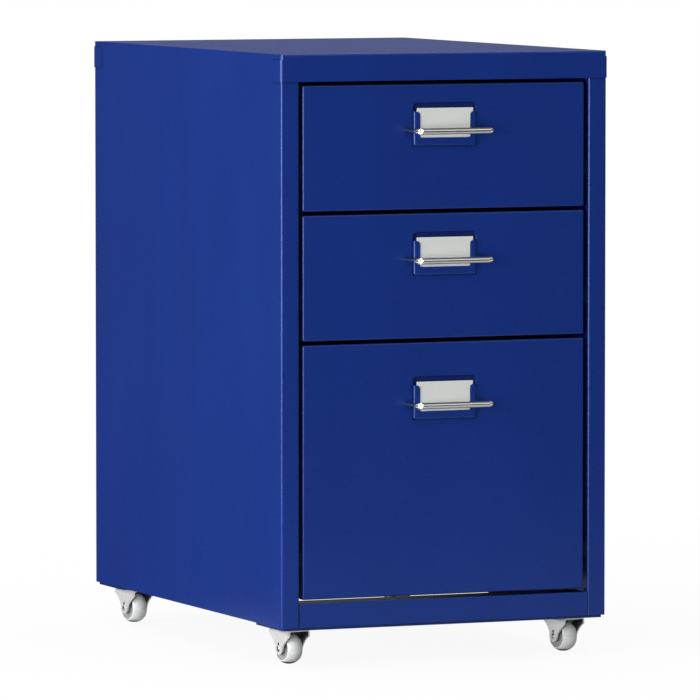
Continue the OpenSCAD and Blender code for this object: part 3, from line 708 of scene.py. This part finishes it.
class CABINET_OT_pulls(DressOperator, bpy.types.Operator):
    """Bar pulls: a round rod bent twice, whose arms are rolled flat"""
    bl_idname = "cabinet.pulls"
    bl_label = "Pulls"

    def execute(self, context):
        for drawer in DRAWERS:
            self.bend_pull(drawer)
            dressed(drawer + "_pull_nuts", 0.2 * MM)
        return {"FINISHED"}

    def bend_pull(self, drawer):
        size = sizes()
        low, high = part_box(drawer + "_pull")
        face_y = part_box(drawer + "_drawer_front")[0].y
        rod_r = (high.z - low.z) / 2
        bar_y = low.y + rod_r
        arm_x = high.x - rod_r + 0.1 * MM
        bend, steps = size.pull_bend, 12
        # a half of the path, from the foot to the middle: place, direction and half height
        flat = size.pull_flat / 2
        stations = [(arm_x, y, 90, flat)
                    for y in (face_y, face_y - 4 * MM, bar_y + bend + 2.5 * MM)]
        for k in range(steps + 1):
            turn = k / steps * pi / 2
            stations.append((arm_x - bend * (1 - cos(turn)), bar_y + bend * (1 - sin(turn)),
                             90 - math.degrees(turn), flat + (rod_r - flat) * sin(turn)))
        # two more stations, between which the punch mark goes
        mark = arm_x - bend - 0.7 * MM
        mark_end = mark - 1.3 * MM
        stations += [(x, bar_y, 0, rod_r) for x in (mark, mark_end)]
        path = stations + [(-x, y, 180 - a, h) for x, y, a, h in reversed(stations)]
        bm = bmesh.new()
        rings = []
        for x, y, heading, half_height in path:
            ring = bmesh.ops.create_circle(bm, cap_ends=False, radius=rod_r, segments=32)
            verts = ring["verts"]
            # the circle stands across the path, and is rolled flat towards the arm
            bmesh.ops.rotate(bm, verts=verts, matrix=Matrix.Rotation(pi / 2, 3, "Y"))
            bmesh.ops.scale(bm, verts=verts, vec=(1, 1, half_height / rod_r))
            bmesh.ops.rotate(bm, verts=verts,
                             matrix=Matrix.Rotation(-radians(heading), 3, "Z"))
            bmesh.ops.translate(bm, verts=verts, vec=(x, y, 0))
            rings.append(list({e for v in verts for e in v.link_edges}))
        for a, b in zip(rings, rings[1:]):
            bmesh.ops.bridge_loops(bm, edges=a + b)
        for end in (rings[0], rings[-1]):
            bmesh.ops.edgenet_fill(bm, edges=end)
        close_up(bm)
        # a punch mark near each end holds the bar on its arms
        marks = [f for f in bm.faces if f.normal.y < -0.8 and f.calc_area() < 1.5 * MM ** 2
                 and mark_end < abs(f.calc_center_median().x) < mark
                 and -1.7 * MM < f.calc_center_median().z < -0.1 * MM]
        bmesh.ops.inset_region(bm, faces=marks, thickness=0.1 * MM, depth=-0.5 * MM,
                               use_boundary=True, use_even_offset=True)
        # chamfered studs, through the drawer front
        reach, stud_r, chamfer = (high.y - face_y) / MM, 1.5, 0.4
        for side in (-1, 1):
            stud = lathe([(0, 0), (stud_r, 0), (stud_r, reach - chamfer),
                          (stud_r - chamfer, reach), (0, reach)], steps=20)
            foot = Matrix.Translation((side * (high.x - STUD_INSET), face_y, 0))
            join_into(bm, stud, foot @ along((0, 1, 0)))
        bmesh.ops.translate(bm, verts=bm.verts, vec=(0, 0, (low.z + high.z) / 2))
        add_piece(drawer + "_bent_pull", bm, drawer + "_pull", smooth_below=50)


class CABINET_OT_castors(DressOperator, bpy.types.Operator):
    """Pressed forks and mount plates of the castors"""
    bl_idname = "cabinet.castors"
    bl_label = "Castors"

    def execute(self, context):
        for corner in CORNERS:
            dressed("fork_" + corner, 0.35 * MM, 3)
            dressed("mount_plate_" + corner, sizes().edge)
        return {"FINISHED"}


class CABINET_OT_wheels(DressOperator, bpy.types.Operator):
    """Moulded wheels with rounded treads and recessed sides"""
    bl_idname = "cabinet.wheels"
    bl_label = "Wheels"

    def execute(self, context):
        for corner in CORNERS:
            self.mould_wheel(corner)
        return {"FINISHED"}

    def mould_wheel(self, corner):
        joint = JOINT[corner + "_wheel"]
        low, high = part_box("wheel_" + corner)
        radius, side = (high.z - low.z) / 2 / MM, sizes().tread_side / MM
        half, hub_half, hub_r, bore = 9.5, 11.6, 4.5, 2.55
        dish_r, dish, soft = 12.6, 2.0, 0.5
        # the tread is a barrel: one arc from side to side
        sag = radius - side
        tread_r = (half ** 2 + sag ** 2) / 2 / sag
        end = math.degrees(math.asin((half - soft) / tread_r))
        right = [(bore, hub_half), (hub_r - 0.4, hub_half), (hub_r, hub_half - 0.4),
                 (hub_r, half - dish), (dish_r - 0.8, half - dish)]
        right += arc((dish_r - 0.8, half - dish + 0.8), 0.8, -90, 0, 3)[1:]
        right += arc((dish_r + 0.4, half - 0.4), 0.4, 180, 90, 3)
        right += arc((side - soft, half - soft), soft, 90, 55, 2)
        right += arc((radius - tread_r, 0), tread_r, end, 0, 12)[:-1]
        left = [(r, -z) for r, z in reversed(right)]
        right.append((radius, 0))
        bm = lathe(right + left, closed=True, steps=72)
        # marks the disc's recess, which the wheel's material paints grey as painted shade
        recess = bm.verts.layers.float.new("recess")
        for v in bm.verts:
            out, across = v.co.xy.length / MM, abs(v.co.z) / MM
            v[recess] = float(hub_r - 0.1 < out < dish_r + 0.1 and across < half - 0.3)
        set_at_joint(bm, joint)
        add_piece("moulded_wheel_" + corner, bm, "wheel_" + corner)


class CABINET_OT_fasteners(DressOperator, bpy.types.Operator):
    """Axles, kingpins, rivets and the screws of the back"""
    bl_idname = "cabinet.fasteners"
    bl_label = "Fasteners"

    def execute(self, context):
        self.axles()
        self.kingpins()
        self.rivets()
        self.back_screws()
        return {"FINISHED"}

    def axles(self):
        """Each axle is peened over at both ends, round a small centre mark."""
        for corner in CORNERS:
            joint = JOINT[corner + "_wheel"]
            half, head, pin = 13.65, 3.4, 2.5  # half the length, and radii of head and pin
            dome, crown, mark = 6.3, 1.1, 0.55  # radius and height, and the mark's radius
            end = [(pin, half - 0.1), (head, half), (head, half + 0.35)]
            end += arc((0, half + crown - dome), dome, 60, 83, 4)
            end += [(mark, half + 1.0), (0, half + 0.7)]
            bm = lathe([(r, -z) for r, z in reversed(end)] + end, steps=40)
            set_at_joint(bm, joint)
            add_piece("peened_axle_" + corner, bm, "axle_" + corner)

    def kingpins(self):
        """Each kingpin has a rounded head under the fork."""
        low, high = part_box("castor_kingpins")
        bottom, top = low.z / MM, high.z / MM
        head, crown, pin, chamfer = 5.0, 1.4, 3.0, 0.3
        seat = bottom + crown + 0.1
        bm = bmesh.new()
        for corner in CORNERS:
            x, y, _ = JOINT[corner + "_swivel"]["pos_m"]
            profile = [(0, bottom)] + arc((head - crown, bottom + crown), crown, -90, 0, 5)
            profile += [(head, seat), (pin, seat), (pin, top - chamfer),
                        (pin - chamfer, top), (0, top)]
            join_into(bm, lathe(profile, steps=32), Matrix.Translation((x, y, 0)))
        add_piece("peened_kingpins", bm, "castor_kingpins")

    def rivets(self):
        """Four through each mount plate, domed on both sides."""
        low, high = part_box("castor_rivets")
        away, dome, shank, sheet = 17, 1.3, 2.4, 1  # away from the kingpin, each way
        crown = 2.7  # radius at which the dome's rounding starts
        bm = bmesh.new()
        for corner in CORNERS:
            x, y, _ = JOINT[corner + "_swivel"]["pos_m"]
            for dx in (-away, away):
                # the outer rivets also hold the side panel's flange
                outer = (dx > 0) == (x > 0)
                bottom, top = low.z / MM, high.z / MM - (0 if outer else sheet)
                profile = ([(0, bottom)] + arc((crown, bottom + dome), dome, -90, 0, 4)
                           + [(shank, bottom + dome), (shank, top - dome)]
                           + arc((crown, top - dome), dome, 0, 90, 4) + [(0, top)])
                for dy in (-away, away):
                    join_into(bm, lathe(profile, steps=24),
                              Matrix.Translation((x + dx * MM, y + dy * MM, 0)))
        add_piece("domed_rivets", bm, "castor_rivets")

    def back_screws(self):
        """Pan heads with a cross recess."""
        solid = bmesh.new()
        solid.from_mesh(frame["nodes"]["back_panel_screws"].data)
        back = max(v.co.y for v in solid.verts)
        rims = [v.co for v in solid.verts if v.co.y > back - 0.01 * MM]
        apart = 8 * MM  # more than a head's width, and less than the space between two
        centres = []
        for c in rims:
            if all((c - centre).length > apart for centre in centres):
                near = [q for q in rims if (q - c).length < apart]
                x, z = ((min(q[axis] for q in near) + max(q[axis] for q in near)) / 2
                        for axis in (0, 2))
                centres.append(Vector((x, back, z)))
        solid.free()
        if len(centres) < 2:
            raise RuntimeError("the back screws were not found")
        length, shank, brim, high = 8.7, 1.7, 3.6, 1.8  # high: the head, and its rounding
        slot, slot_reach, slot_depth = 0.4 * MM, 1.9 * MM, 0.9 * MM
        bm = bmesh.new()
        for centre in centres:
            head = lathe([(0, -length), (1.2, -length), (shank, -8.0), (shank, -high),
                          (brim, -high), (brim, -1.2)]
                         + arc((high, -high), high, 25, 90, 5) + [(0, 0)], steps=32)
            for axis in (Vector((1, 0, 0)), Vector((0, 1, 0))):
                for offset in (-slot, slot):
                    bmesh.ops.bisect_plane(
                        head, geom=head.verts[:] + head.edges[:] + head.faces[:], dist=1e-7,
                        plane_co=axis * offset, plane_no=axis)
            cross = []
            for face in head.faces:
                mid = face.calc_center_median()
                if (mid.z > -0.8 * MM and mid.xy.length < slot_reach
                        and min(abs(mid.x), abs(mid.y)) < slot):
                    cross.append(face)
            out = bmesh.ops.extrude_face_region(head, geom=cross)
            bmesh.ops.translate(head, vec=(0, 0, -slot_depth), verts=added_verts(out))
            bmesh.ops.delete(head, geom=cross, context="FACES")
            bmesh.ops.recalc_face_normals(head, faces=head.faces)
            join_into(bm, head, Matrix.Translation(centre) @ along((0, 1, 0)))
        add_piece("cross_head_screws", bm, "back_panel_screws")


# --------------------------------------------------------------------------------------
# Stage


class CABINET_OT_stage(DressOperator, bpy.types.Operator):
    """Pale floor, soft lamps, white background and the camera"""
    bl_idname = "cabinet.stage"
    bl_label = "Stage"

    def execute(self, context):
        scene = context.scene
        scene.view_settings.view_transform = "Standard"
        self.floor(scene)
        self.background(scene)
        self.lamp(scene, "left_softbox", place=(-2.95, -1.05, 0.8), target=(0, 0, 0.42),
                  size=(2.2, 1.7), watts=84)
        self.lamp(scene, "front_softbox", place=(-2.0, -2.7, 0.5), target=(0, 0, 0.35),
                  size=(1.6, 0.9), watts=38)
        # the paint doesn't mirror the lamp overhead, which would veil the top
        self.lamp(scene, "overhead_softbox", place=(0.0, 0.2, 2.9), target=(0, 0, 0.6),
                  size=(3.6, 3.6), watts=84, glossy=False)
        self.camera(scene)
        return {"FINISHED"}

    def floor(self, scene):
        bm = bmesh.new()
        bmesh.ops.create_circle(bm, cap_ends=True, radius=2.0, segments=96,
                               matrix=Matrix.Translation((0, 0.7, 0)))
        mesh = bpy.data.meshes.new("studio_floor")
        bm.to_mesh(mesh)
        bm.free()
        floor = bpy.data.objects.new("studio_floor", mesh)
        scene.collection.objects.link(floor)
        made = bpy.data.materials.new("pale_studio_floor")
        made.use_nodes = True
        tree = made.node_tree
        tree.nodes.clear()
        path = add_node(tree, "ShaderNodeLightPath")
        place = add_node(tree, "ShaderNodeTexCoord").outputs["Object"]
        dim = linear("#BCBCBC")  # what the floor sends back to the cabinet
        tone = shaded(tree, path.outputs["Is Camera Ray"], dim, colours().floor)
        matt = add_node(tree, "ShaderNodeBsdfDiffuse", {"Color": tone})
        # The camera sees the floor mostly as the white background, and keeps a part of the
        # shadow near the cabinet. Towards the rim the floor runs out into that white.
        away = add_node(tree, "ShaderNodeVectorMath", {0: place}, operation="LENGTH")
        share = add_node(tree, "ShaderNodeMapRange", {"Value": away.outputs["Value"]},
                         From_Min=0.4, From_Max=1.6, To_Min=0.93, To_Max=1.0)
        seen = add_node(tree, "ShaderNodeMath", {0: path.outputs["Is Camera Ray"],
                                                 1: share.outputs[0]}, operation="MULTIPLY")
        # Metal shows that white too, round the castors. The mirrored floor is grey in front
        # of the cabinet and dark further off, so that the paint keeps its depth.
        mirrored = self.mirrored(tree, path)
        under = self.patch(tree, place, centre=(-0.08, 0.08, 0), inner=0.16, outer=0.28,
                           level=0.95)
        ahead = self.patch(tree, place, centre=(0.25, -0.75, 0), inner=0.42, outer=0.72,
                           level=0.5)
        studio = add_node(tree, "ShaderNodeMath", {0: under, 1: ahead}, operation="MAXIMUM")
        strength = add_node(tree, "ShaderNodeMix", {0: mirrored, 3: studio.outputs[0]})
        strength.inputs[2].default_value = 1.0
        white = add_node(tree, "ShaderNodeEmission", {"Strength": strength.outputs[0]},
                         Color=(1, 1, 1, 1))
        shown = add_node(tree, "ShaderNodeMath", {0: seen.outputs[0], 1: mirrored},
                         operation="MAXIMUM")
        mix = add_node(tree, "ShaderNodeMixShader", {
            0: shown.outputs[0], 1: matt.outputs[0], 2: white.outputs[0]})
        add_node(tree, "ShaderNodeOutputMaterial", {"Surface": mix.outputs[0]})
        mesh.materials.append(made)

    def patch(self, tree, place, centre, inner, outer, level):
        """A round patch of mirrored floor whose level falls off between two radii."""
        away = add_node(tree, "ShaderNodeVectorMath", {0: place}, operation="DISTANCE")
        away.inputs[1].default_value = centre
        dark = 0.05
        return add_node(tree, "ShaderNodeMapRange", {"Value": away.outputs["Value"]},
                        From_Min=inner, From_Max=outer, To_Min=level,
                        To_Max=dark).outputs[0]

    def mirrored(self, tree, path):
        """1 for a ray that metal, gloss or glass sends on, and 0 for any other."""
        return add_node(tree, "ShaderNodeMath", {0: path.outputs["Is Glossy Ray"],
                                                 1: path.outputs["Is Transmission Ray"]},
                        operation="MAXIMUM").outputs[0]

    def background(self, scene):
        world = bpy.data.worlds.new("white_background")
        world.use_nodes = True
        tree = world.node_tree
        tree.nodes.clear()
        # The camera sees plain white. Metal and paint reflect a studio with a band of
        # white reflectors above the horizon, and everything is lit by an even, soft grey.
        # A direction's Z is the sine of its height.
        path = add_node(tree, "ShaderNodeLightPath")
        way = add_node(tree, "ShaderNodeTexCoord")
        split = add_node(tree, "ShaderNodeSeparateXYZ",
                         {"Vector": way.outputs["Generated"]})
        rise = add_node(tree, "ShaderNodeMapRange", {"Value": split.outputs["Z"]},
                        From_Min=0.25, From_Max=0.42, To_Min=0.06, To_Max=1.2)
        fall = add_node(tree, "ShaderNodeMapRange", {"Value": split.outputs["Z"]},
                        From_Min=0.58, From_Max=0.75, To_Min=1.0, To_Max=0.12)
        studio = add_node(tree, "ShaderNodeMath", {0: rise.outputs[0], 1: fall.outputs[0]},
                          operation="MULTIPLY")
        lit = add_node(tree, "ShaderNodeMix", {0: self.mirrored(tree, path),
                                               3: studio.outputs[0]})
        lit.inputs[2].default_value = 0.2
        strength = add_node(tree, "ShaderNodeMix", {0: path.outputs["Is Camera Ray"],
                                                    2: lit.outputs[0]})
        strength.inputs[3].default_value = 1.0
        light = add_node(tree, "ShaderNodeBackground", {"Strength": strength.outputs[0]},
                         Color=(1, 1, 1, 1))
        add_node(tree, "ShaderNodeOutputWorld", {"Surface": light.outputs[0]})
        scene.world = world

    def lamp(self, scene, name, place, target, size, watts, glossy=True):
        """A rectangular softbox aimed at a point, that the camera doesn't see."""
        data = bpy.data.lights.new(name, "AREA")
        data.shape = "RECTANGLE"
        data.size, data.size_y = size
        data.energy = watts
        lamp = bpy.data.objects.new(name, data)
        scene.collection.objects.link(lamp)
        lamp.location = place
        aim = Vector(target) - Vector(place)
        lamp.rotation_euler = aim.to_track_quat("-Z", "Y").to_euler()
        lamp.visible_camera = False
        lamp.visible_glossy = glossy

    def camera(self, scene):
        """A long lens from the front left, fitted to the body's corners."""
        dip, turn = 3.99784, 22.94341
        data = bpy.data.cameras.new("camera")
        data.sensor_width = 36
        data.lens = 383.48
        data.clip_end = 100
        camera = bpy.data.objects.new("camera", data)
        scene.collection.objects.link(camera)
        camera.location = (-3.28817, -7.76721, 0.91699)
        camera.rotation_euler = (radians(90 - dip), 0, -radians(turn))
        scene.camera = camera


# --------------------------------------------------------------------------------------
# Panel, registration and the run


STEPS = (
    CABINET_OT_sheet_steel, CABINET_OT_drawers, CABINET_OT_runners,
    CABINET_OT_label_holders, CABINET_OT_label_cards, CABINET_OT_pulls,
    CABINET_OT_castors, CABINET_OT_wheels, CABINET_OT_fasteners, CABINET_OT_stage,
)


class CABINET_PT_panel(bpy.types.Panel):
    """Lists the steps and the values that a user would change"""
    bl_label = "Steel cabinet"
    bl_idname = "CABINET_PT_panel"
    bl_space_type = "VIEW_3D"
    bl_region_type = "UI"
    bl_category = "Cabinet"

    def draw(self, context):
        for group in (context.scene.cabinet_sizes, context.scene.cabinet_colours):
            box = self.layout.box()
            for key in group.bl_rna.properties.keys():
                if key not in ("rna_type", "name"):
                    box.prop(group, key)
        for step in STEPS:
            self.layout.operator(step.bl_idname)


CLASSES = (CabinetSizes, CabinetColours) + STEPS + (CABINET_PT_panel,)


def register():
    for cls in CLASSES:
        bpy.utils.register_class(cls)
    bpy.types.Scene.cabinet_sizes = bpy.props.PointerProperty(type=CabinetSizes)
    bpy.types.Scene.cabinet_colours = bpy.props.PointerProperty(type=CabinetColours)


def unregister():
    del bpy.types.Scene.cabinet_colours
    del bpy.types.Scene.cabinet_sizes
    for cls in reversed(CLASSES):
        bpy.utils.unregister_class(cls)


def main():
    register()
    for step in STEPS:
        group, name = step.bl_idname.split(".")
        getattr(getattr(bpy.ops, group), name)()


if __name__ == "__main__":
    main()
